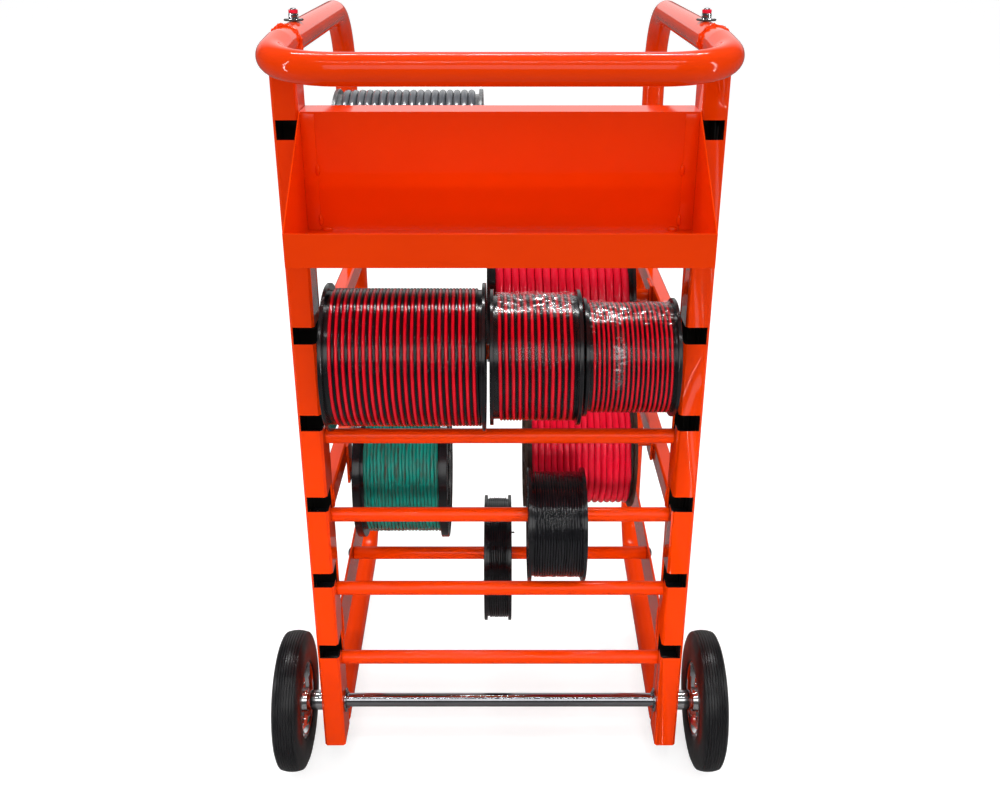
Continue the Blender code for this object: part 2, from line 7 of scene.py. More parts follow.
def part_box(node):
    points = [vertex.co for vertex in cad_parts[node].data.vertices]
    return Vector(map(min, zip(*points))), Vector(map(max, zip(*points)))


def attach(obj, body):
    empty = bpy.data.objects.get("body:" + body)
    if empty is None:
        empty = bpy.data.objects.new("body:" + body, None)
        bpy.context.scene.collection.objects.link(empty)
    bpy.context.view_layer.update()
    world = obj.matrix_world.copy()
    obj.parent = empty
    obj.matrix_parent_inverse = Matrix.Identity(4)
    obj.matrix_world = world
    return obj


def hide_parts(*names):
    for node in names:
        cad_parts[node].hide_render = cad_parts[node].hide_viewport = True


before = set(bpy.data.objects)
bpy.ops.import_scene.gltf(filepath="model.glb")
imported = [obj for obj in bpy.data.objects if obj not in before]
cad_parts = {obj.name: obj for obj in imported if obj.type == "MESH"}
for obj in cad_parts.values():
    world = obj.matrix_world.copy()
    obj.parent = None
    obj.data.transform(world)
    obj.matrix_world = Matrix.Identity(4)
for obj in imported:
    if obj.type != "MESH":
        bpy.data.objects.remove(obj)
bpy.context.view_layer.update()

# the cart leans back about its axle; pieces are modelled on the upright rack and leaned at the end
rack = {"lean": 5.0, "axleY": 0.032, "axleZ": 0.127, "postX": 0.306, "postIn": 0.287, "postOut": 0.325,
        "postDepth": 0.064, "postWall": 0.003, "gap": 0.0003}
slope = math.tan(math.radians(rack["lean"]))
axleLow, axleHigh = (Vector(corner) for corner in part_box("axle"))
axleAt = (axleLow + axleHigh) / 2
leanBack = Matrix.Translation(axleAt) @ Matrix.Rotation(-math.radians(rack["lean"]), 4, "X")
leanBack = leanBack @ Matrix.Translation((0, -rack["axleY"], -rack["axleZ"]))
hands = ((-1, "left"), (1, "right"))
print("frame loaded,", len(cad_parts), "nodes")


def sockets(tree, wanted):
    for kind, socketType, name, value in wanted:
        made = tree.interface.new_socket(name=name, in_out=kind, socket_type=socketType)
        if value is not None:
            made.default_value = value


def startGroup(name, wanted):
    tree = bpy.data.node_groups.new(name, "ShaderNodeTree")
    sockets(tree, wanted)
    return tree, tree.nodes.new("NodeGroupInput"), tree.nodes.new("NodeGroupOutput")


def addNoise(tree, vector, scale, detail=3.0, rough=0.5):
    node = tree.nodes.new("ShaderNodeTexNoise")
    node.inputs["Detail"].default_value = detail
    node.inputs["Roughness"].default_value = rough
    tree.links.new(vector, node.inputs["Vector"])
    if isinstance(scale, (int, float)):
        node.inputs["Scale"].default_value = scale
    else:
        tree.links.new(scale, node.inputs["Scale"])
    return node.outputs["Fac"]


def addRange(tree, value, low, high, toLow=0.0, toHigh=1.0):
    node = tree.nodes.new("ShaderNodeMapRange")
    node.inputs["From Min"].default_value = low
    node.inputs["From Max"].default_value = high
    node.inputs["To Min"].default_value = toLow
    node.inputs["To Max"].default_value = toHigh
    tree.links.new(value, node.inputs["Value"])
    return node.outputs["Result"]


def addMath(tree, operation, first, second):
    node = tree.nodes.new("ShaderNodeMath")
    node.operation = operation
    for spot, value in ((0, first), (1, second)):
        if isinstance(value, (int, float)):
            node.inputs[spot].default_value = value
        else:
            tree.links.new(value, node.inputs[spot])
    return node.outputs[0]


def addMix(tree, factor, first, second):
    node = tree.nodes.new("ShaderNodeMix")
    node.data_type = "RGBA"
    tree.links.new(factor, node.inputs["Factor"])
    for name, value in (("A", first), ("B", second)):
        spot = [s for s in node.inputs if s.name == name and s.type == "RGBA"][0]
        if isinstance(value, tuple):
            spot.default_value = value
        else:
            tree.links.new(value, spot)
    return [s for s in node.outputs if s.type == "RGBA"][0]


# powder coat: soft drift of tone, an orange-peel skin and a few dust nibs
coatGroup, coatIn, coatOut = startGroup("coatSkin", [
    ("INPUT", "NodeSocketVector", "Vector", None),
    ("INPUT", "NodeSocketColor", "Tone", (0.7, 0.04, 0.002, 1)),
    ("INPUT", "NodeSocketColor", "Deep", (0.5, 0.025, 0.002, 1)), ("INPUT", "NodeSocketFloat", "Peel", 620.0),
    ("OUTPUT", "NodeSocketColor", "Color", None), ("OUTPUT", "NodeSocketFloat", "Roughness", None),
    ("OUTPUT", "NodeSocketFloat", "Height", None)])
drift = addNoise(coatGroup, coatIn.outputs["Vector"], 7.0, 4.0, 0.6)
coatGroup.links.new(addMix(coatGroup, addRange(coatGroup, drift, 0.42, 0.72, 0.0, 0.55),
                           coatIn.outputs["Tone"], coatIn.outputs["Deep"]), coatOut.inputs["Color"])
peel = addNoise(coatGroup, coatIn.outputs["Vector"], coatIn.outputs["Peel"], 1.5, 0.4)
nibs = addRange(coatGroup, addNoise(coatGroup, coatIn.outputs["Vector"], 260.0, 1.0), 0.74, 0.8)
handled = addNoise(coatGroup, coatIn.outputs["Vector"], 24.0, 5.0, 0.65)
coatGroup.links.new(addRange(coatGroup, handled, 0.35, 0.7, 0.05, 0.1), coatOut.inputs["Roughness"])
coatGroup.links.new(addMath(coatGroup, "ADD", peel, addMath(coatGroup, "MULTIPLY", nibs, 0.8)),
                    coatOut.inputs["Height"])

# bright metal: draw lines along the bar, handling marks, a dull bloom
brightGroup, brightIn, brightOut = startGroup("brightScuff", [
    ("INPUT", "NodeSocketVector", "Vector", None), ("INPUT", "NodeSocketColor", "Tone", (0.6, 0.61, 0.63, 1)),
    ("INPUT", "NodeSocketColor", "Bloom", (0.42, 0.42, 0.43, 1)),
    ("INPUT", "NodeSocketFloat", "Lines", 900.0),
    ("OUTPUT", "NodeSocketColor", "Color", None), ("OUTPUT", "NodeSocketFloat", "Mask", None),
    ("OUTPUT", "NodeSocketFloat", "Height", None)])
bloom = addNoise(brightGroup, brightIn.outputs["Vector"], 38.0, 6.0, 0.6)
bloomMask = addRange(brightGroup, bloom, 0.45, 0.72)
brightGroup.links.new(addMix(brightGroup, bloomMask, brightIn.outputs["Tone"], brightIn.outputs["Bloom"]),
                      brightOut.inputs["Color"])
brightGroup.links.new(bloomMask, brightOut.inputs["Mask"])
brightGroup.links.new(addNoise(brightGroup, brightIn.outputs["Vector"], brightIn.outputs["Lines"], 2.0),
                      brightOut.inputs["Height"])

# rubber, moulded plastic and wire cover: tone from turn to turn, dust in noise patches, a fine skin
coverGroup, coverIn, coverOut = startGroup("coverSkin", [
    ("INPUT", "NodeSocketVector", "Vector", None),
    ("INPUT", "NodeSocketColor", "Tone", (0.02, 0.02, 0.02, 1)),
    ("INPUT", "NodeSocketColor", "Pale", (0.06, 0.06, 0.06, 1)), ("INPUT", "NodeSocketFloat", "Patch", 30.0),
    ("INPUT", "NodeSocketFloat", "Skin", 700.0), ("OUTPUT", "NodeSocketColor", "Color", None),
    ("OUTPUT", "NodeSocketFloat", "Mask", None), ("OUTPUT", "NodeSocketFloat", "Height", None)])
patch = addNoise(coverGroup, coverIn.outputs["Vector"], coverIn.outputs["Patch"], 5.0, 0.6)
patchMask = addRange(coverGroup, patch, 0.4, 0.75)
coverGroup.links.new(addMix(coverGroup, patchMask, coverIn.outputs["Tone"], coverIn.outputs["Pale"]),
                     coverOut.inputs["Color"])
coverGroup.links.new(patchMask, coverOut.inputs["Mask"])
coverGroup.links.new(addNoise(coverGroup, coverIn.outputs["Vector"], coverIn.outputs["Skin"], 3.0),
                     coverOut.inputs["Height"])


def startFinish(name, group, stretch, values, bump, fixed):
    made = bpy.data.materials.new(name)
    made.use_nodes = True
    tree = made.node_tree
    shader = tree.nodes["Principled BSDF"]
    spots = tree.nodes.new("ShaderNodeTexCoord")
    turn = tree.nodes.new("ShaderNodeMapping")
    turn.inputs["Scale"].default_value = stretch
    tree.links.new(spots.outputs["Object"], turn.inputs["Vector"])
    skin = tree.nodes.new("ShaderNodeGroup")
    skin.node_tree = group
    tree.links.new(turn.outputs["Vector"], skin.inputs["Vector"])
    for key, value in values.items():
        skin.inputs[key].default_value = value
    tree.links.new(skin.outputs["Color"], shader.inputs["Base Color"])
    lift = tree.nodes.new("ShaderNodeBump")
    lift.inputs["Strength"].default_value = bump[0]
    lift.inputs["Distance"].default_value = bump[1]
    tree.links.new(skin.outputs["Height"], lift.inputs["Height"])
    tree.links.new(lift.outputs["Normal"], shader.inputs["Normal"])
    for key, value in fixed.items():
        shader.inputs[key].default_value = value
    return made, tree, shader, skin


def coatFinish(name, tone, deep, fixed):
    made, tree, shader, skin = startFinish(name, coatGroup, (1, 1, 1), {"Tone": tone, "Deep": deep},
                                           (0.025, 0.0004), fixed)
    tree.links.new(skin.outputs["Roughness"], shader.inputs["Roughness"])
    return made


def maskFinish(name, group, stretch, values, rough, bump, fixed):
    made, tree, shader, skin = startFinish(name, group, stretch, values, bump, fixed)
    tree.links.new(addRange(tree, skin.outputs["Mask"], 0.0, 1.0, *rough), shader.inputs["Roughness"])
    return made


orangeCoat = coatFinish("orangeCoat", (0.84, 0.045, 0.0002, 1), (0.78, 0.039, 0.0002, 1),
                        {"Specular IOR Level": 0.26})
# near-black finish for the faces inside the posts: bare steel, with the shade deep inside the tubes painted on
postBareSteelAndShade = coatFinish("postBareSteelAndShade", (0.012, 0.011, 0.01, 1), (0.006, 0.006, 0.006, 1),
                        {"Specular IOR Level": 0.2})
zincPlate = maskFinish("zincPlate", brightGroup, (0.15, 1, 1),
                       {"Tone": (0.44, 0.44, 0.46, 1), "Bloom": (0.36, 0.36, 0.38, 1)},
                       (0.12, 0.17), (0.006, 0.0003), {"Metallic": 1.0})
chromePlate = maskFinish("chromePlate", brightGroup, (1, 1, 1),
                         {"Tone": (0.82, 0.82, 0.84, 1), "Bloom": (0.66, 0.65, 0.65, 1), "Lines": 300.0},
                         (0.07, 0.2), (0.04, 0.0003), {"Metallic": 1.0})
tyreRubber = maskFinish("tyreRubber", coverGroup, (1, 1, 1),
                        {"Tone": (0.007, 0.007, 0.008, 1), "Pale": (0.016, 0.016, 0.017, 1), "Patch": 22.0},
                        (0.3, 0.46), (0.15, 0.0004), {"Specular IOR Level": 0.36})
footRubber = maskFinish("footRubber", coverGroup, (1, 1, 1),
                        {"Tone": (0.02, 0.02, 0.02, 1), "Pale": (0.07, 0.068, 0.064, 1), "Patch": 60.0},
                        (0.6, 0.85), (0.3, 0.0004), {})
spoolPlastic = maskFinish("spoolPlastic", coverGroup, (1, 1, 1),
                          {"Tone": (0.005, 0.005, 0.006, 1), "Pale": (0.014, 0.014, 0.016, 1), "Patch": 18.0},
                          (0.16, 0.3), (0.08, 0.0003), {"Specular IOR Level": 0.5})
boardFlange = maskFinish("boardFlange", coverGroup, (1, 1, 1),
                         {"Tone": (0.03, 0.016, 0.01, 1), "Pale": (0.075, 0.04, 0.025, 1), "Patch": 40.0},
                         (0.4, 0.6), (0.15, 0.0003), {"Specular IOR Level": 0.3})
paleFlange = maskFinish("paleFlange", coverGroup, (1, 1, 1),
                        {"Tone": (0.1, 0.105, 0.11, 1), "Pale": (0.2, 0.205, 0.21, 1), "Patch": 40.0},
                        (0.2, 0.35), (0.1, 0.0003), {"Specular IOR Level": 0.5})
wireLook = {"rough": (0.1, 0.2), "bump": (0.1, 0.0003), "stretch": (9, 1, 1)}


def wireFinish(name, tone, pale, gloss=0.5, patch=16.0):
    return maskFinish(name, coverGroup, wireLook["stretch"],
                      {"Tone": tone, "Pale": pale, "Patch": patch, "Skin": 420.0}, wireLook["rough"],
                      wireLook["bump"], {"Specular IOR Level": gloss})


wires = {
    "red": wireFinish("redWire", (0.7, 0.003, 0.014, 1), (0.8, 0.008, 0.024, 1), 0.5),
    "scarlet": wireFinish("scarletWire", (0.8, 0.006, 0.03, 1), (0.9, 0.02, 0.055, 1), 0.5),
    "black": wireFinish("blackWire", (0.002, 0.002, 0.003, 1), (0.006, 0.006, 0.008, 1), 0.5),
    "jet": wireFinish("jetWire", (0.004, 0.004, 0.005, 1), (0.012, 0.012, 0.014, 1), 0.55, 30.0),
    "green": wireFinish("greenWire", (0.0, 0.24, 0.185, 1), (0.05, 0.028, 0.02, 1), 0.4, 30.0),
    "grey": wireFinish("greyWire", (0.085, 0.093, 0.105, 1), (0.14, 0.15, 0.165, 1), 0.5),
}

# clear stretch film: a faint mirror skin, with bright creases where it bunches
filmGroup, filmIn, filmOut = startGroup("filmCrease", [
    ("INPUT", "NodeSocketVector", "Vector", None), ("INPUT", "NodeSocketFloat", "Scale", 60.0),
    ("OUTPUT", "NodeSocketFloat", "Crease", None), ("OUTPUT", "NodeSocketFloat", "Cloud", None),
    ("OUTPUT", "NodeSocketFloat", "Height", None)])
folds = addNoise(filmGroup, filmIn.outputs["Vector"], filmIn.outputs["Scale"], 3.0, 0.55)
offFold = addMath(filmGroup, "ABSOLUTE", addMath(filmGroup, "SUBTRACT", folds, 0.5), 0.0)
filmGroup.links.new(addRange(filmGroup, offFold, 0.0, 0.045, 1.0, 0.0), filmOut.inputs["Crease"])
filmGroup.links.new(addRange(filmGroup, addNoise(filmGroup, filmIn.outputs["Vector"], 17.0, 2.0), 0.42, 0.66),
                    filmOut.inputs["Cloud"])
filmGroup.links.new(folds, filmOut.inputs["Height"])


def filmFinish(name, scale, least, creased, clouded, rough):
    made = bpy.data.materials.new(name)
    made.use_nodes = True
    tree = made.node_tree
    shader = tree.nodes["Principled BSDF"]
    shader.inputs["Roughness"].default_value = rough
    shader.inputs["Metallic"].default_value = 1.0
    shader.inputs["Base Color"].default_value = (0.92, 0.92, 0.95, 1)
    spots = tree.nodes.new("ShaderNodeTexCoord")
    skin = tree.nodes.new("ShaderNodeGroup")
    skin.node_tree = filmGroup
    skin.inputs["Scale"].default_value = scale
    tree.links.new(spots.outputs["Object"], skin.inputs["Vector"])
    fade = tree.nodes.new("ShaderNodeAttribute")
    fade.attribute_name = "fade"
    cover = addMath(tree, "ADD", addMath(tree, "MULTIPLY", skin.outputs["Crease"], creased),
                    addRange(tree, skin.outputs["Cloud"], 0.0, 1.0, least, clouded))
    tree.links.new(addMath(tree, "MULTIPLY", cover, fade.outputs["Fac"]), shader.inputs["Alpha"])
    lift = tree.nodes.new("ShaderNodeBump")
    lift.inputs["Strength"].default_value = 0.5
    lift.inputs["Distance"].default_value = 0.002
    tree.links.new(skin.outputs["Height"], lift.inputs["Height"])
    tree.links.new(lift.outputs["Normal"], shader.inputs["Normal"])
    return made


filmWrap = filmFinish("filmWrap", 24.0, 0.0, 0.012, 0.014, 0.2)
filmBunch = filmFinish("filmBunch", 42.0, 0.04, 0.36, 0.2, 0.2)
filmStreak = filmFinish("filmStreak", 70.0, 0.05, 0.2, 0.22, 0.3)
print("finishes made,", len(bpy.data.materials), "materials")


def keep(bm, name, body, material, nodes=(), sharp=32, upright=False, allSmooth=False):
    if not upright:
        bm.transform(leanBack)
    mesh = bpy.data.meshes.new(name)
    bm.to_mesh(mesh)
    bm.free()
    for finish in material if isinstance(material, (list, tuple)) else (material,):
        mesh.materials.append(finish)
    mesh.shade_smooth()
    if not allSmooth:
        mesh.set_sharp_from_angle(angle=math.radians(sharp))
    piece = bpy.data.objects.new(name, mesh)
    bpy.context.scene.collection.objects.link(piece)
    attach(piece, body)
    if nodes:
        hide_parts(*nodes)
    return piece


def soften(bm, width, segments=2, least=30):
    edges = [e for e in bm.edges if len(e.link_faces) == 2 and e.calc_face_angle() > math.radians(least)]
    bmesh.ops.bevel(bm, geom=edges, offset=width, offset_type="OFFSET", segments=segments, profile=0.5,
                    affect="EDGES", clamp_overlap=True, material=-1)


def lathe(bm, profile, at, steps, closed=True, axis=(1, 0, 0)):
    # the profile is (distance along the axis, radius) from the point at
    along = Vector(axis)
    out = Vector((0, 0, 1)) if axis[2] == 0 else Vector((0, 1, 0))
    points = [bm.verts.new(Vector(at) + along * a + out * r) for a, r in profile]
    edges = [bm.edges.new(pair) for pair in zip(points, points[1:])]
    if closed:
        edges.append(bm.edges.new((points[-1], points[0])))
    bmesh.ops.spin(bm, geom=points + edges, cent=at, axis=axis, dvec=(0, 0, 0), angle=2 * math.pi,
                   steps=steps, use_merge=True, use_duplicate=False)
    bmesh.ops.remove_doubles(bm, verts=bm.verts, dist=1e-6)
    bmesh.ops.recalc_face_normals(bm, faces=bm.faces)


def bentTube(bm, corners, bends, radius, sides, steps):
    # a ring of edges pulled along the straights and spun round the bends
    points = [Vector(corner) for corner in corners]
    heading = (points[1] - points[0]).normalized()
    turn = heading.to_track_quat("Z", "Y").to_matrix().to_4x4()
    ring = bmesh.ops.create_circle(bm, cap_ends=False, segments=sides, radius=radius,
                                   matrix=Matrix.Translation(points[0]) @ turn)["verts"]
    edges = list({e for v in ring for e in v.link_edges})
    here = points[0]
    for spot in range(1, len(points)):
        stop = points[spot]
        last = spot == len(points) - 1
        if not last:
            onward = (points[spot + 1] - points[spot]).normalized()
            angle = heading.angle(onward)
            reach = bends[spot - 1] * math.tan(angle / 2)
            stop = points[spot] - heading * reach
        grown = bmesh.ops.extrude_edge_only(bm, edges=edges)["geom"]
        fresh = [g for g in grown if isinstance(g, bmesh.types.BMVert)]
        bmesh.ops.translate(bm, verts=fresh, vec=stop - here)
        edges = [g for g in grown if isinstance(g, bmesh.types.BMEdge)
                 and g.verts[0] in fresh and g.verts[1] in fresh]
        here = stop
        if not last:
            axis = heading.cross(onward).normalized()
            centre = stop + axis.cross(heading) * bends[spot - 1]
            swept = bmesh.ops.spin(bm, geom=edges, cent=centre, axis=axis, dvec=(0, 0, 0), angle=angle,
                                   steps=steps, use_merge=False, use_duplicate=False)["geom_last"]
            edges = [g for g in swept if isinstance(g, bmesh.types.BMEdge)]
            here = points[spot] + onward * reach
            heading = onward
    bmesh.ops.holes_fill(bm, edges=[e for e in bm.edges if e.is_boundary])
    bmesh.ops.recalc_face_normals(bm, faces=bm.faces)


def addBlock(bm, low, high, turn=None):
    middle = (Vector(low) + Vector(high)) / 2
    size = Vector(high) - Vector(low)
    place = Matrix.Translation(middle) @ Matrix.Diagonal((*size, 1))
    return bmesh.ops.create_cube(bm, size=1, matrix=turn @ place if turn else place)["verts"]


bead = {"ripple": 0.12, "ripples": 29, "lump": 1.7, "lumpScale": 105, "least": 0.6, "step": 0.0022,
        "tip": 0.45, "rough": 0.25, "roughScale": 320}


def ringBead(bm, at, axis, reach, thick, steps, seed):
    # a weld run right round a pipe
    around = Vector(axis)
    out = Vector((1, 0, 0)) if abs(around.x) < 0.5 else Vector((0, 0, 1))
    side = around.cross(out)
    place = Matrix.Translation(Vector(at) + out * reach)
    place = place @ Matrix((out, around, -side)).transposed().to_4x4()
    ring = bmesh.ops.create_circle(bm, cap_ends=False, segments=8, radius=thick, matrix=place)["verts"]
    edges = list({e for v in ring for e in v.link_edges})
    before = set(bm.verts) - set(ring)
    bmesh.ops.spin(bm, geom=edges, cent=at, axis=axis, dvec=(0, 0, 0), angle=2 * math.pi, steps=steps,
                   use_merge=True, use_duplicate=False)
    for v in set(bm.verts) - before:
        away = v.co - Vector(at)
        core = Vector(at) + (away - around * away.dot(around)).normalized() * reach
        turned = math.atan2(away.dot(side), away.dot(out))
        lump = bead["ripple"] * math.sin(turned * bead["ripples"] + seed)
        lump += bead["lump"] * noise.noise(v.co * bead["lumpScale"] + Vector((seed, 0, 0)))
        v.co = core + (v.co - core) * max(bead["least"], 1 + lump)


def lineBead(bm, start, end, thick, seed):
    # a short straight run of weld, thin at its ends and rippled along it
    start, end = Vector(start), Vector(end)
    run = end - start
    steps = max(6, int(run.length / bead["step"]))
    turn = run.to_track_quat("Z", "Y").to_matrix().to_4x4()
    ring = bmesh.ops.create_circle(bm, cap_ends=True, segments=8, radius=thick,
                                   matrix=Matrix.Translation(start) @ turn)["verts"]
    before = set(bm.verts) - set(ring)
    edges = list({e for v in ring for e in v.link_edges})
    bmesh.ops.spin(bm, geom=edges, cent=start, axis=run.normalized(), dvec=run / steps, angle=0.0001,
                   steps=steps, use_merge=False, use_duplicate=False)
    fresh = list(set(bm.verts) - before)
    for v in fresh:
        share = max(0.0, min(1.0, (v.co - start).dot(run) / run.length_squared))
        core = start + run * share
        swell = bead["tip"] + (1 - bead["tip"]) * math.sin(math.pi * share) ** 0.5
        swell *= 1 + bead["rough"] * noise.noise(v.co * bead["roughScale"] + Vector((seed, 0, 0)))
        v.co = core + (v.co - core) * swell
    bmesh.ops.holes_fill(bm, edges=list({e for v in fresh for e in v.link_edges if e.is_boundary}))


def addNut(bm, radius, depth, width, place):
    made = bmesh.ops.create_cone(bm, cap_ends=True, segments=6, radius1=radius, radius2=radius, depth=depth,
                                 matrix=place)["verts"]
    bmesh.ops.bevel(bm, geom=list({e for v in made for e in v.link_edges}), offset=width, offset_type="OFFSET",
                    segments=2, profile=0.5, affect="EDGES", clamp_overlap=True, material=-1)


def easedCopy(node, name, body, material, width, segments=2, inside=None):
    # the node's own solid, merged, its flats joined and its edges rounded
    bm = bmesh.new()
    bm.from_mesh(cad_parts[node].data)
    bmesh.ops.remove_doubles(bm, verts=bm.verts, dist=1e-5)
    bmesh.ops.dissolve_limit(bm, angle_limit=math.radians(1.5), use_dissolve_boundaries=False, verts=bm.verts,
                             edges=bm.edges)
    # faces inside a post take the second finish, the near-black painted shade of the tube's interior
    if inside:
        back = leanBack.inverted()
        for face in bm.faces:
            spot = back @ face.calc_center_median()
            if inside(spot, (back.to_3x3() @ face.normal)):
                face.material_index = 1
    piece = keep(bm, name, body, material, (node,), upright=True, allSmooth=True)
    ease = piece.modifiers.new("eased", "BEVEL")
    ease.width = width
    ease.segments = segments
    ease.limit_method = "ANGLE"
    ease.angle_limit = math.radians(32)
    flats = piece.modifiers.new("flats", "WEIGHTED_NORMAL")
    flats.weight = 50
    flats.keep_sharp = False
    return piece


# bent pipes of the sides and the handle
pipes = {"radius": 0.0212, "sides": 32, "steps": 18, "bend": 0.130, "railZ": 1.291, "jointY": 0.045,
         "rearY": 0.655, "baseZ": 0.061, "kneeY": -0.005, "barY": -0.150, "handleBend": 0.100,
         "kneeBend": 0.05, "buttGap": 0.0003, "baseGap": 0.0006}
baseRear = pipes["baseZ"] + (pipes["rearY"] - rack["postDepth"]) * slope
barZ = pipes["railZ"] + (pipes["barY"] - pipes["kneeY"]) * slope
for side, hand in hands:
    x = side * rack["postX"]
    bm = bmesh.new()
    bentTube(bm, [(x, pipes["jointY"], pipes["railZ"]), (x, pipes["rearY"], pipes["railZ"]),
                  (x, pipes["rearY"], baseRear),
                  (x, rack["postDepth"] + pipes["baseGap"] + pipes["radius"] * slope, pipes["baseZ"])],
             [pipes["bend"], pipes["bend"]], pipes["radius"], pipes["sides"], pipes["steps"])
    keep(bm, hand + "HoopPipe", "frame", orangeCoat, (hand + "_side_hoop",), sharp=50)
bm = bmesh.new()
x = rack["postX"]
butt = pipes["jointY"] - pipes["buttGap"]
bentTube(bm, [(-x, butt, pipes["railZ"]), (-x, pipes["kneeY"], pipes["railZ"]), (-x, pipes["barY"], barZ),
              (x, pipes["barY"], barZ), (x, pipes["kneeY"], pipes["railZ"]), (x, butt, pipes["railZ"])],
         [pipes["kneeBend"], pipes["handleBend"], pipes["handleBend"], pipes["kneeBend"]], pipes["radius"],
         pipes["sides"], pipes["steps"])
keep(bm, "handlePipe", "frame", orangeCoat, ("handle_loop",), sharp=50)
print("pipes bent")

# posts, side rails, bars and tray keep the solids' shape with rounded edges
eased = {"post": 0.0009, "rail": 0.001, "bar": 0.0008, "tray": 0.0007, "spindle": 0.0009}
innerHalf = (rack["postOut"] - rack["postIn"]) / 2 - rack["postWall"]


def insidePost(spot, normal):
    across = abs(abs(spot.x) - rack["postX"])
    deep = abs(spot.y - rack["postDepth"] / 2)
    return across < innerHalf + 1e-4 and deep < rack["postDepth"] / 2 - rack["postWall"] + 1e-4


for side, hand in hands:
    easedCopy(hand + "_upright", hand + "Post", "frame", (orangeCoat, postBareSteelAndShade),
              eased["post"], inside=insidePost)
    for level in ("lower", "middle", "upper"):
        easedCopy(hand + "_" + level + "_side_rail", hand + level.capitalize() + "Rail", "frame",
                  orangeCoat, eased["rail"])
    easedCopy(hand + "_rung_bar", hand + "RungBar", "frame", orangeCoat, eased["bar"])
easedCopy("tray", "trayPan", "frame", orangeCoat, eased["tray"])
print("posts, rails and tray eased")

# loose rods, fixed rung and axle
bars = {"radius": 0.0125, "wall": 0.003, "rodHalf": 0.319, "rodY": 0.041, "steps": 40, "rungHalf": 0.2867,
        "rungY": 0.249, "rungZ": 0.3092, "rungBore": 0.0063, "ease": 0.0007, "sleeve": 0.2885,
        "rods": {"lowest": 0.2178, "low": 0.3678, "middle": 0.5178, "high": 0.6678, "highest": 0.8178}}


def tubeProfile(half, outer, inner):
    return [(-half, inner), (-half, outer), (half, outer), (half, inner)]


for level, z in bars["rods"].items():
    bm = bmesh.new()
    ends = tubeProfile(bars["rodHalf"], bars["radius"], bars["radius"] - bars["wall"])
    bare = [(-bars["sleeve"], bars["radius"]), (bars["sleeve"], bars["radius"])]
    lathe(bm, ends[:2] + bare + ends[2:], (0, bars["rodY"], z), bars["steps"])
    soften(bm, bars["ease"])
    # the rod ends inside the posts take the black plastic: painted shade inside the posts, taken for plastic
    # sleeves
    for face in bm.faces:
        if abs(face.calc_center_median().x) > bars["sleeve"]:
            face.material_index = 1
    keep(bm, level + "RodTube", level + "_rod", (orangeCoat, spoolPlastic), (level + "_rod",))
bm = bmesh.new()
lathe(bm, tubeProfile(bars["rungHalf"], bars["radius"], bars["rungBore"]), (0, bars["rungY"], bars["rungZ"]),
      bars["steps"])
soften(bm, bars["ease"])
keep(bm, "rungTube", "frame", orangeCoat, ("rear_rung",))
print("rods turned")

# axle, washers, split pins and caps
axleParts = {"half": 0.4056, "radius": 0.0125, "washerOut": 0.2867, "washerIn": 0.2837, "washerRadius": 0.022,
             "pinX": 0.2812, "pinRadius": 0.00225, "pinReach": 0.0185, "pinSteps": 20, "bore": 0.0128,
             "ease": 0.001, "steps": 48,
             "cap": [(0.4086, 0), (0.4086, 0.009), (0.4077, 0.0135), (0.4059, 0.0172), (0.4037, 0.0188),
                     (0.4023, 0.019), (0.4023, 0.0128), (0.4059, 0.0128), (0.4059, 0)]}
axleSpot = (0, rack["axleY"], rack["axleZ"])
bm = bmesh.new()
half, radius, ease, bore = (axleParts[key] for key in ("half", "radius", "ease", "bore"))
lathe(bm, [(-half, 0), (-half, radius - ease), (ease - half, radius), (half - ease, radius),
           (half, radius - ease), (half, 0)], axleSpot, axleParts["steps"], closed=False)
keep(bm, "axleBar", "frame", zincPlate, ("axle",))
for side, hand in hands:
    bm = bmesh.new()
    near, far, wide = side * axleParts["washerIn"], side * axleParts["washerOut"], axleParts["washerRadius"]
    lathe(bm, [(near, bore), (near, wide), (far, wide), (far, bore)], axleSpot, axleParts["steps"])
    soften(bm, 0.0005)
    keep(bm, hand + "AxleWasher", "frame", zincPlate, (hand + "_axle_washer",))
    bm = bmesh.new()
    x = side * axleParts["pinX"]
    reach, thin = axleParts["pinReach"], axleParts["pinRadius"]
    lathe(bm, [(-reach, 0), (-reach, thin * 0.8), (-reach + ease, thin), (reach - 0.006, thin),
               (reach - 0.004, thin * 1.1), (reach - 0.002, thin * 1.5), (reach, thin * 1.1), (reach, 0)],
          (x, rack["axleY"], rack["axleZ"]), axleParts["pinSteps"], closed=False, axis=(0, 0, 1))
    keep(bm, hand + "SplitPin", "frame", zincPlate, (hand + "_split_pin",))
    bm = bmesh.new()
    lathe(bm, [(side * a, r) for a, r in axleParts["cap"]], axleSpot, axleParts["steps"], closed=False)
    keep(bm, hand + "AxleCap", "frame", zincPlate, (hand + "_axle_cap",))
print("axle dressed")

# wheels: ribbed tyre, pressed disc rim with its nuts
wheel = {"x": 0.378, "radius": 0.127, "bead": 0.070, "halfWidth": 0.025, "steps": 96, "grooves": 7,
         "grooveDeep": 0.0018, "treadShare": 0.74, "crown": 0.0034, "nuts": 5, "nutCircle": 0.0345,
         "nutOut": 0.0058, "nutRadius": 0.0058, "nutDeep": 0.006, "nutEase": 0.0006, "stud": 0.0036,
         "studOut": 0.004, "bore": 0.0128, "sleeve": 0.018, "hubBack": -0.024,
         "flank": [(0.82, 0.0), (0.9, 0.03), (0.97, 0.14), (1.0, 0.3), (1.0, 0.5), (0.97, 0.66), (0.9, 0.8),
                   (0.79, 0.91)],
         "disc": [(0.024, 0.0128), (0.024, 0.019), (0.0225, 0.0205), (0.012, 0.0225), (0.006, 0.025),
                  (0.003, 0.028), (0.003, 0.0405), (0.0055, 0.0435), (0.0085, 0.047), (0.0085, 0.051),
                  (0.004, 0.0555), (0.003, 0.059), (0.005, 0.062), (0.015, 0.0645), (0.0185, 0.0662),
                  (0.020, 0.068), (0.020, 0.0697)]}
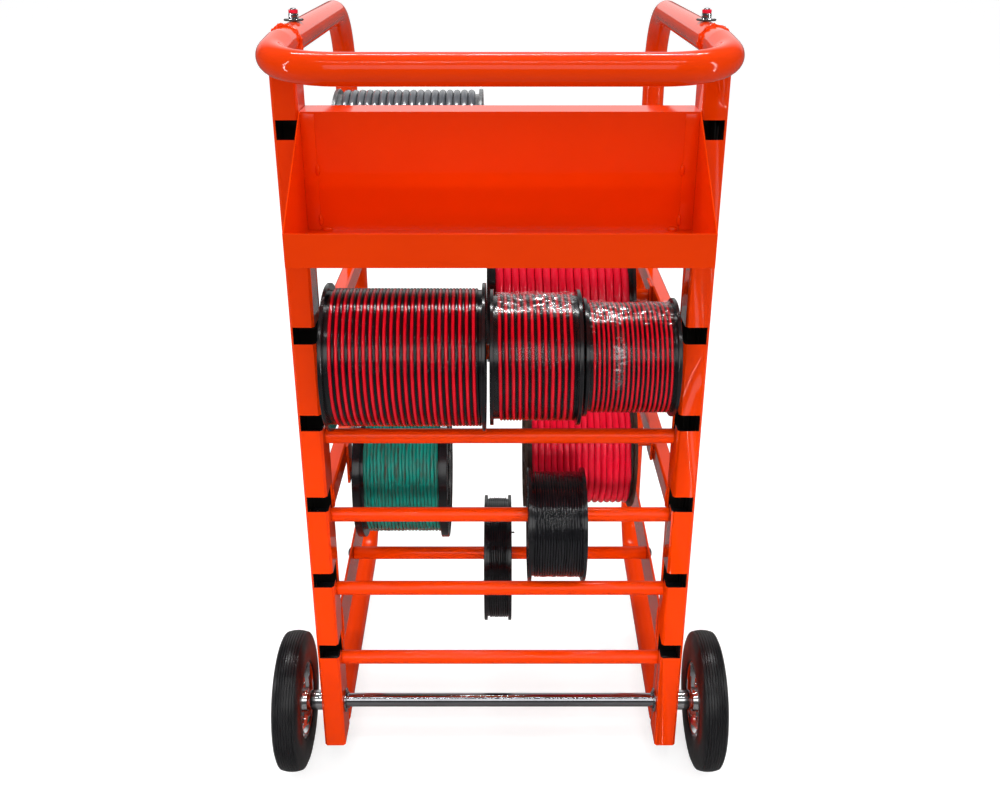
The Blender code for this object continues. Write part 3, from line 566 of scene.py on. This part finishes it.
for side, hand in hands:
    at = (side * wheel["x"], rack["axleY"], rack["axleZ"])
    high, low, wide = wheel["radius"], wheel["bead"], wheel["halfWidth"]
    flank = [(wide * across, low + (high - low) * up) for across, up in wheel["flank"]]
    tread = []
    for rib in range(wheel["grooves"] + 1):
        edge = wide * wheel["treadShare"]
        width = 2 * edge / (wheel["grooves"] + 1)
        start = edge - rib * width
        crown = [start - width * s for s in (0.04, 0.5, 0.82)]
        tread += [(a, high - wheel["crown"] * (a / edge) ** 2) for a in crown]
        if rib < wheel["grooves"]:
            floorAt = high - wheel["crown"] * ((start - width) / edge) ** 2 - wheel["grooveDeep"]
            tread += [(start - width * s, floorAt) for s in (0.88, 0.98)]
    tread[-1] = (-tread[0][0], tread[0][1])
    bm = bmesh.new()
    lathe(bm, flank + tread + [(-a, r) for a, r in reversed(flank)], at, wheel["steps"])
    soften(bm, 0.0004, 1, 40)
    keep(bm, hand + "TyreRing", hand + "_wheel", tyreRubber, (hand + "_tyre",))
    rear = [(-a, r) for a, r in reversed(wheel["disc"]) if r > 0.0195] + [(wheel["hubBack"], wheel["sleeve"])]
    sleeve = rack["postOut"] + rack["gap"] - wheel["x"]
    profile = wheel["disc"] + rear + [(sleeve, wheel["sleeve"]), (sleeve, wheel["bore"])]
    bm = bmesh.new()
    lathe(bm, [(side * a, r) for a, r in profile], at, wheel["steps"])
    for nut in range(wheel["nuts"]):
        spin = Matrix.Rotation(2 * math.pi * nut / wheel["nuts"], 4, "X")
        for outward in (1, -1):
            place = Matrix.Translation(at) @ spin
            place = place @ Matrix.Translation((outward * wheel["nutOut"], 0, wheel["nutCircle"]))
            place = place @ Matrix.Rotation(math.pi / 2, 4, "Y")
            addNut(bm, wheel["nutRadius"], wheel["nutDeep"], wheel["nutEase"], place)
            tip = place @ Matrix.Translation((0, 0, outward * wheel["studOut"]))
            bmesh.ops.create_uvsphere(bm, u_segments=16, v_segments=8, radius=wheel["stud"], matrix=tip)
    keep(bm, hand + "RimDisc", hand + "_wheel", chromePlate, (hand + "_rim",))
print("wheels turned")

# levelling feet, upright on the floor
foot = {"pad": 0.018, "padTop": 0.012, "stem": 0.009, "steps": 40}
for side, hand in hands:
    low, high = (Vector(corner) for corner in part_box(hand + "_rear_foot"))
    middle = (low + high) / 2
    pad, rise, stem, top = foot["pad"], foot["padTop"], foot["stem"], high.z
    bm = bmesh.new()
    lathe(bm, [(0, 0), (0, pad * 0.94), (0.0015, pad), (rise * 0.42, pad * 0.99), (rise * 0.7, pad * 0.92),
               (rise * 0.93, pad * 0.84), (rise, pad * 0.76), (rise, stem * 1.24), (rise + 0.0045, stem * 1.18),
               (rise + 0.0052, stem), (top, stem), (top, 0)],
          (middle.x, middle.y, 0), foot["steps"], closed=False, axis=(0, 0, 1))
    keep(bm, hand + "FootPad", "frame", footRubber, (hand + "_rear_foot",), upright=True)
print("feet set")

# bolts: domed rung bolts on the bars, flanged bolts standing on the rails
bolts = {"rungX": 0.2913, "railY": 0.125, "railZ": 1.3125, "hex": 0.0078, "hexDeep": 0.0078, "hexUp": 0.0068,
         "hexEase": 0.0007, "threads": 4, "threadPitch": 0.0016,
         "dome": [(0.0072, 0), (0.0068, 0.004), (0.0056, 0.0075), (0.0034, 0.0102), (0.0008, 0.0119),
                  (0, 0.012), (0, 0.006), (-0.0266, 0.006), (-0.0266, 0)],
         "flange": [(0, 0), (0, 0.013), (0.0018, 0.013), (0.003, 0.0112), (0.003, 0)],
         "collar": [(0.0108, 0.0053), (0.0108, 0.0066), (0.0112, 0.007), (0.0152, 0.007), (0.0158, 0.0064),
                    (0.0158, 0.0053)],
         "seal": [(0.0002, 0.0131), (0.0002, 0.0142), (0.0008, 0.0147), (0.002, 0.0147), (0.0026, 0.0142),
                  (0.0026, 0.0131)]}
for side, hand in hands:
    bm = bmesh.new()
    lathe(bm, [(side * a, r) for a, r in bolts["dome"]],
          (side * bolts["rungX"], bars["rungY"], bars["rungZ"]), 32, closed=False)
    keep(bm, hand + "RungBolt", "frame", zincPlate, (hand + "_rung_bolt",))
    bm = bmesh.new()
    seat = (side * rack["postX"], bolts["railY"], bolts["railZ"])
    lathe(bm, bolts["flange"], seat, 40, closed=False, axis=(0, 0, 1))
    head = Matrix.Translation(Vector(seat) + Vector((0, 0, bolts["hexUp"])))
    addNut(bm, bolts["hex"], bolts["hexDeep"], bolts["hexEase"], head)
    stud = [(0.009, 0.0049)]
    for thread in range(bolts["threads"]):  # thread ridges up to the rounded tip
        up = bolts["threadPitch"] * thread
        stud += [(0.0107 + up, 0.0051), (0.0115 + up, 0.0045)]
    lathe(bm, stud + [(0.0172, 0.0044), (0.0179, 0.0032), (0.018, 0)], seat, 28, closed=False, axis=(0, 0, 1))
    keep(bm, hand + "RailBolt", "frame", zincPlate, (hand + "_rail_bolt",))
    bm = bmesh.new()
    lathe(bm, bolts["collar"], seat, 32, axis=(0, 0, 1))
    keep(bm, hand + "BoltCollar", "frame", wires["scarlet"])
    bm = bmesh.new()
    lathe(bm, bolts["seal"], seat, 40, axis=(0, 0, 1))
    keep(bm, hand + "BoltSeal", "frame", footRubber)
print("bolts set")

# spools and their wire: flange and coil radii, turns, strands, film; ends and centres come from the solids
spools = {
    "front_left": {"flange": 0.119, "coil": 0.111, "turns": 22, "strands": ("red", "black"), "stray": 0.0004},
    "front_middle": {"flange": 0.109, "coil": 0.102, "turns": 12, "strands": ("red", "black"),
                     "stray": 0.0005, "film": (54, 112)},
    "front_right": {"flange": 0.095, "coil": 0.089, "turns": 17, "strands": ("red", "black"), "stray": 0.0005,
                    "film": (46, 112), "streak": -0.022},
    "dark": {"flange": 0.0975, "coil": 0.091, "turns": 18, "strands": ("jet",), "stray": 0.0016,
             "bore": 0.032},
    "narrow": {"flange": 0.122, "coil": 0.117, "turns": 8, "strands": ("jet",), "stray": 0.0012},
    "green": {"flange": 0.1265, "coil": 0.116, "turns": 21, "strands": ("green",), "stray": 0.0016,
              "wall": 0.014},
    "low_red": {"flange": 0.118, "coil": 0.111, "turns": 16, "strands": ("scarlet",), "stray": 0.0014,
                "ends": boardFlange},
    "high_red": {"flange": 0.119, "coil": 0.110, "turns": 17, "strands": ("scarlet",), "stray": 0.0014},
    "grey": {"flange": 0.105, "coil": 0.104, "turns": 18, "strands": ("grey",), "stray": 0.0006,
             "ends": paleFlange},
}
spoolForm = {"wall": 0.006, "bore": 0.0228, "hub": 0.011, "steps": 72, "sides": 12, "turnSteps": 48, "ribs": 8,
             "ribHalf": 0.0016, "play": 0.0006, "strayShare": 0.55, "sink": 0.8, "sunk": 0.3}
filmForm = {"wrapOff": 0.0006, "wrapFold": 0.0016, "bunchOff": 0.0014, "bunchFold": 0.0034,
            "streakReach": 0.011, "streakOff": 0.001, "streakArc": (-12, 66), "streakFold": 0.0022, "edge": 0.006}


def windWire(bm, at, radius, wire, start, pitch, turns, stray):
    # one turn is a ring of edges screwed round the barrel; the rest are copies set on along it
    place = Matrix.Translation(Vector(at) + Vector((start, 0, -radius)))
    place = place @ Matrix.Rotation(math.pi / 2, 4, "X")
    ring = bmesh.ops.create_circle(bm, cap_ends=False, segments=spoolForm["sides"], radius=wire / 2,
                                   matrix=place)["verts"]
    edges = list({e for v in ring for e in v.link_edges})
    steps = spoolForm["turnSteps"]
    bmesh.ops.spin(bm, geom=edges, cent=at, axis=(1, 0, 0), dvec=(pitch / steps, 0, 0), angle=2 * math.pi,
                   steps=steps, use_merge=False, use_duplicate=False)
    oneTurn = list(bm.verts) + list(bm.edges) + list(bm.faces)
    for turn in range(1, turns):
        copied = bmesh.ops.duplicate(bm, geom=oneTurn)["geom"]
        fresh = [g for g in copied if isinstance(g, bmesh.types.BMVert)]
        bmesh.ops.translate(bm, verts=fresh, vec=(pitch * turn, 0, 0))
    bmesh.ops.remove_doubles(bm, verts=bm.verts, dist=1e-5)
    bmesh.ops.holes_fill(bm, edges=[e for e in bm.edges if e.is_boundary])
    bmesh.ops.recalc_face_normals(bm, faces=bm.faces)
    for v in bm.verts:
        away = Vector((0, v.co.y - at[1], v.co.z - at[2])).normalized()
        lay = noise.noise(Vector((v.co.x * 260, v.co.y * 22, v.co.z * 22)))
        v.co += away * stray * spoolForm["sink"] * (min(spoolForm["sunk"], lay) - spoolForm["sunk"])
        v.co.x += stray * (noise.noise(v.co * 14) + 0.6 * noise.noise(v.co * 48) + 0.5 * lay)


def wrapFilm(bm, at, reach, radius, arc, rows, columns, fold):
    # film laid round the coil over an arc in degrees above the front, creased by noise
    line = [bm.verts.new((at[0] - reach + 2 * reach * row / rows, at[1] - radius, at[2]))
            for row in range(rows + 1)]
    edges = [bm.edges.new(pair) for pair in zip(line, line[1:])]
    bmesh.ops.rotate(bm, verts=line, cent=at, matrix=Matrix.Rotation(-math.radians(arc[0]), 3, "X"))
    wide = arc[1] - arc[0]
    bmesh.ops.spin(bm, geom=line + edges, cent=at, axis=(1, 0, 0), dvec=(0, 0, 0), angle=-math.radians(wide),
                   steps=columns, use_merge=wide >= 360, use_duplicate=False)
    bmesh.ops.remove_doubles(bm, verts=bm.verts, dist=1e-6)
    bmesh.ops.recalc_face_normals(bm, faces=bm.faces)
    fade = bm.verts.layers.float.new("fade")
    for v in bm.verts:
        away = Vector((0, v.co.y - at[1], v.co.z - at[2])).normalized()
        if wide < 360:  # ragged, thinning edges
            along = (math.degrees(math.atan2(away.z, -away.y)) - arc[0]) / wide
            ragged = 1.5 * math.sin(math.pi * max(0.0, min(1.0, along))) + 1.4 * noise.noise(v.co * 30) - 0.25
            side = min(1.0, (reach - abs(v.co.x - at[0])) / filmForm["edge"])
            v[fade] = max(0.0, min(1.0, ragged)) * side
        else:
            v[fade] = 1.0
        crease = abs(noise.noise(Vector((v.co.x * 45, v.co.y * 80, v.co.z * 80))))
        v.co += away * fold * (crease + 0.5 * abs(noise.noise(v.co * 210)))


rackBack = leanBack.inverted()
for name, spool in spools.items():
    low, high = (Vector(corner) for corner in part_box(name + "_spool"))
    half = (high.x - low.x) / 2
    at = rackBack @ ((low + high) / 2)
    inside = half - spool.get("wall", spoolForm["wall"])
    turns, strands = spool["turns"], spool["strands"]
    share = 1 / len(strands)
    room = 2 * inside - 2 * spoolForm["play"]
    wire = room / (turns + 1) * share * 0.99
    pitch = (room - wire * len(strands)) / turns
    barrel = spool["coil"] - wire * 0.62
    rim, bore = spool["flange"], spool.get("bore", spoolForm["bore"])
    hub = bore + spoolForm["hub"]
    dished, ridge = half - 0.0022, half - 0.0010
    face = [(half, bore), (half, hub), (dished, hub + 0.002), (dished, rim * 0.62), (ridge, rim * 0.64),
            (ridge, rim * 0.67), (dished, rim * 0.69), (dished, rim - 0.0065), (half, rim - 0.0045),
            (half, rim - 0.001), (half - 0.001, rim), (inside + 0.0008, rim), (inside, rim - 0.0008),
            (inside, barrel)]
    bm = bmesh.new()
    lathe(bm, face + [(-a, r) for a, r in reversed(face)], at, spoolForm["steps"])
    for end in (1, -1):
        for rib in range(spoolForm["ribs"]):
            turn = Matrix.Translation(at) @ Matrix.Rotation(2 * math.pi * rib / spoolForm["ribs"], 4, "X")
            inner, outer = end * (half - 0.0035), end * (half - 0.0004)
            thin = spoolForm["ribHalf"]
            addBlock(bm, (min(inner, outer), -thin, hub), (max(inner, outer), thin, rim - 0.006), turn)
    keep(bm, name + "SpoolBody", name + "_spool", spool.get("ends", spoolPlastic),
         (name + "_spool",))
    for strand, color in enumerate(strands):
        bm = bmesh.new()
        first = -inside + spoolForm["play"] + wire / 2 + strand * pitch * share
        stray = min(spool["stray"], wire * spoolForm["strayShare"])
        windWire(bm, at, spool["coil"] - wire / 2, wire, first, pitch, turns, stray)
        keep(bm, name + color.capitalize() + "Wire", name + "_spool", wires[color],
             (name + "_winding",) if strand == 0 else (), sharp=60)
    if "film" in spool:
        bm = bmesh.new()
        wrapFilm(bm, at, inside - 0.001, spool["coil"] + filmForm["wrapOff"], (0, 360), 24, 120,
                 filmForm["wrapFold"])
        keep(bm, name + "Film", name + "_spool", filmWrap, sharp=180)
        bm = bmesh.new()
        wrapFilm(bm, at, inside - 0.002, spool["coil"] + filmForm["bunchOff"], spool["film"], 60, 40,
                 filmForm["bunchFold"])
        keep(bm, name + "FilmBunch", name + "_spool", filmBunch, sharp=180)
    if "streak" in spool:
        bm = bmesh.new()
        wrapFilm(bm, at + Vector((spool["streak"], 0, 0)), filmForm["streakReach"],
                 spool["coil"] + filmForm["streakOff"], filmForm["streakArc"], 16, 60, filmForm["streakFold"])
        keep(bm, name + "FilmStreak", name + "_spool", filmStreak, sharp=180)
    print(name, "wound,", turns, "turns of", len(strands))

# the narrow spool's wire end, poked out through its flange
wireEnd = {"angle": 60, "reach": 0.100, "out": 0.0055, "radius": 0.0016}
low, high = (Vector(corner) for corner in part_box("narrow_spool"))
tip = rackBack @ ((low + high) / 2)
tip.x = high.x
tip.y -= wireEnd["reach"] * math.cos(math.radians(wireEnd["angle"]))
tip.z += wireEnd["reach"] * math.sin(math.radians(wireEnd["angle"]))
bm = bmesh.new()
lathe(bm, [(-0.004, 0), (-0.004, wireEnd["radius"]), (wireEnd["out"] - 0.0005, wireEnd["radius"]),
           (wireEnd["out"], wireEnd["radius"] * 0.7), (wireEnd["out"], 0)], tip, 16, closed=False)
keep(bm, "narrowWireEnd", "narrow_spool", wires["jet"])

# stub spindles of the rear spools
for name in ("green", "low_red", "high_red", "grey"):
    easedCopy(name + "_spindle", name + "SpindleArm", "frame", orangeCoat, eased["spindle"])
print("spindles set")

# returns of the tray's ends, folded along its back
trayFold = {"outX": 0.2847, "wide": 0.020, "thick": 0.0018, "low": 1.0292, "high": 1.1985, "off": 0.0001,
            "ease": 0.0006}
for side, hand in hands:
    bm = bmesh.new()
    xs = sorted((side * trayFold["outX"], side * (trayFold["outX"] - trayFold["wide"])))
    addBlock(bm, (xs[0], -trayFold["thick"] - trayFold["off"], trayFold["low"]),
             (xs[1], -trayFold["off"], trayFold["high"]))
    soften(bm, trayFold["ease"])
    keep(bm, hand + "TrayReturn", "frame", orangeCoat)
print("tray folded")

# weld runs under the paint
welds = {"pipe": 0.0035, "flat": 0.0026, "steps": 72, "off": 0.0002, "postTop": 1.2905, "postEnd": 0.004,
         "railTops": (0.557, 0.819, 1.100), "railIn": 0.2885, "railOut": 0.3105, "railLow": 0.037,
         "railHigh": 0.003, "railOff": 0.0005, "barY": 0.0645, "barLow": 0.240, "barHigh": 0.311,
         "trayBackX": 0.2648, "trayBackY": -0.0012, "trayBackZ": (1.044, 1.118), "trayHalf": 0.008,
         "cornerFrom": (0.262, -0.004, 1.0305), "cornerTo": (0.249, -0.003, 1.0305), "trayX": 0.2842,
         "trayZ": 1.0298, "trayRuns": ((-0.155, -0.130, 4), (-0.075, -0.050, 6))}
flat = welds["flat"]
bm = bmesh.new()
for side, hand in hands:
    x, inX = side * rack["postX"], side * rack["postIn"]
    ringBead(bm, (x, pipes["jointY"], pipes["railZ"]), (0, 1, 0), pipes["radius"] + welds["off"], welds["pipe"],
             welds["steps"], side * 5)
    for edge in (rack["postIn"], rack["postOut"]):
        lineBead(bm, (side * edge, welds["postEnd"], welds["postTop"]),
                 (side * edge, rack["postDepth"] - welds["postEnd"], welds["postTop"]), flat, edge * 40)
    for top in welds["railTops"]:
        for y in (rack["postDepth"] + welds["railOff"], pipes["rearY"] - pipes["radius"] - welds["railOff"]):
            lineBead(bm, (side * welds["railIn"], y, top), (side * welds["railOut"], y, top), flat,
                     top * 30 + y)
            lineBead(bm, (inX, y, top - welds["railLow"]), (inX, y, top - welds["railHigh"]), flat,
                     top * 20 - y)
    lineBead(bm, (inX, welds["barY"], welds["barLow"]), (inX, welds["barY"], welds["barHigh"]), flat, 9 * side)
    for z in welds["trayBackZ"]:
        spot = (side * welds["trayBackX"], welds["trayBackY"])
        lineBead(bm, (*spot, z - welds["trayHalf"]), (*spot, z + welds["trayHalf"]), flat * 1.3, z * 9 * side)
    ends = [(side * a, b, c) for a, b, c in (welds["cornerFrom"], welds["cornerTo"])]
    lineBead(bm, *ends, flat * 1.6, 7 * side)
    for start, stop, seed in welds["trayRuns"]:
        lineBead(bm, (side * welds["trayX"], start, welds["trayZ"]),
                 (side * welds["trayX"], stop, welds["trayZ"]), flat, seed * side)
bmesh.ops.recalc_face_normals(bm, faces=bm.faces)
keep(bm, "weldRuns", "frame", orangeCoat, sharp=70)
print("welds laid")

# pale floor, soft studio light and the camera
studio = {"floor": (0.5, 0.5, 0.5, 1), "shine": (0.2, 0.2, 0.2, 1), "glow": 0.68, "horizon": 0.31,
          "zenith": 0.84, "flagged": 0.8, "behind": 0.75, "behindFrom": 0.78, "behindTo": 0.97, "backdrop": 1.0,
          "size": 30, "aim": (0, 0, 0.7), "spread": 32, "lowAim": (0, 0.3, 0.25),
          "lamps": [((0, -1.3, 3.0), (2.6, 0.03), 11), ((0, 0.9, 3.0), (2.6, 0.05), 42),
                    ((0, -3.2, 2.7), (3.0, 1.4), 26),
                    ((-2.6, -0.9, 1.4), (0.06, 2.2), 16), ((2.6, -0.9, 1.4), (0.06, 2.2), 16)],
          "lowLamp": ((0, -2.6, 0.9), (1.6, 0.5), 2.4)}
bm = bmesh.new()
bmesh.ops.create_grid(bm, x_segments=1, y_segments=1, size=studio["size"])
floorMesh = bpy.data.meshes.new("studioFloor")
bm.to_mesh(floorMesh)
bm.free()
floor = bpy.data.objects.new("studioFloor", floorMesh)
bpy.context.scene.collection.objects.link(floor)
floorPaint = bpy.data.materials.new("studioFloorPaint")
floorPaint.use_nodes = True
floorShader = floorPaint.node_tree.nodes["Principled BSDF"]
floorShader.inputs["Emission Color"].default_value = (1, 1, 1, 1)
rays = floorPaint.node_tree.nodes.new("ShaderNodeLightPath")  # the floor glows white to the eye alone
floorTone = addMix(floorPaint.node_tree, rays.outputs["Is Glossy Ray"], studio["floor"], studio["shine"])
floorPaint.node_tree.links.new(floorTone, floorShader.inputs["Base Color"])
floorGlow = addRange(floorPaint.node_tree, rays.outputs["Is Camera Ray"], 0.0, 1.0, 0.0, studio["glow"])
floorPaint.node_tree.links.new(floorGlow, floorShader.inputs["Emission Strength"])
floorShader.inputs["Roughness"].default_value = 0.7
floorMesh.materials.append(floorPaint)
world = bpy.data.worlds.new("studioSky")
world.use_nodes = True
world.node_tree.nodes["Background"].inputs["Color"].default_value = (1, 1, 1, 1)
toSky = world.node_tree.nodes.new("ShaderNodeTexCoord")
skyParts = world.node_tree.nodes.new("ShaderNodeSeparateXYZ")
world.node_tree.links.new(toSky.outputs["Generated"], skyParts.inputs["Vector"])
skyLight = addRange(world.node_tree, skyParts.outputs["Z"], 0.0, 1.0, studio["horizon"], studio["zenith"])
rays = world.node_tree.nodes.new("ShaderNodeLightPath")  # flags keep the pale sky out of the gloss
flags = addRange(world.node_tree, rays.outputs["Is Glossy Ray"], 0.0, 1.0, 1.0, 1 - studio["flagged"])
skyLight = addMath(world.node_tree, "MULTIPLY", skyLight, flags)
behind = addRange(world.node_tree, skyParts.outputs["Y"], studio["behindFrom"], studio["behindTo"], 0.0,
                  studio["behind"])
skyLight = addMath(world.node_tree, "ADD", skyLight,
                   addMath(world.node_tree, "MULTIPLY", behind, rays.outputs["Is Glossy Ray"]))
skyLight = addMath(world.node_tree, "MAXIMUM", skyLight,
                   addMath(world.node_tree, "MULTIPLY", rays.outputs["Is Camera Ray"], studio["backdrop"]))
world.node_tree.links.new(skyLight, world.node_tree.nodes["Background"].inputs["Strength"])
bpy.context.scene.world = world
for index, (spot, size, power) in enumerate(studio["lamps"] + [studio["lowLamp"]]):
    lamp = bpy.data.lights.new("softBox%d" % index, "AREA")
    aim = Vector(studio["aim"])
    if index == len(studio["lamps"]):  # the low lamp is gridded, so the handle stays out of its beam
        lamp.spread = math.radians(studio["spread"])
        aim = Vector(studio["lowAim"])
    lamp.shape = "RECTANGLE"
    lamp.size, lamp.size_y = size
    lamp.energy = power
    holder = bpy.data.objects.new("softBox%d" % index, lamp)
    holder.location = spot
    holder.visible_glossy = index < len(studio["lamps"])
    holder.rotation_euler = (aim - Vector(spot)).to_track_quat("-Z", "Y").to_euler()
    bpy.context.scene.collection.objects.link(holder)
view = {"place": (0, -1.7809, 1.5969), "down": 29.3, "lens": 39.06}
camera = bpy.data.cameras.new("shopCamera")
camera.lens = view["lens"]
camera.sensor_width = 36.0
cameraHolder = bpy.data.objects.new("shopCamera", camera)
cameraHolder.location = view["place"]
cameraHolder.rotation_euler = (math.radians(90 - view["down"]), 0, 0)
bpy.context.scene.collection.objects.link(cameraHolder)
bpy.context.scene.camera = cameraHolder
bpy.context.scene.view_settings.view_transform = "Standard"
print("studio ready")
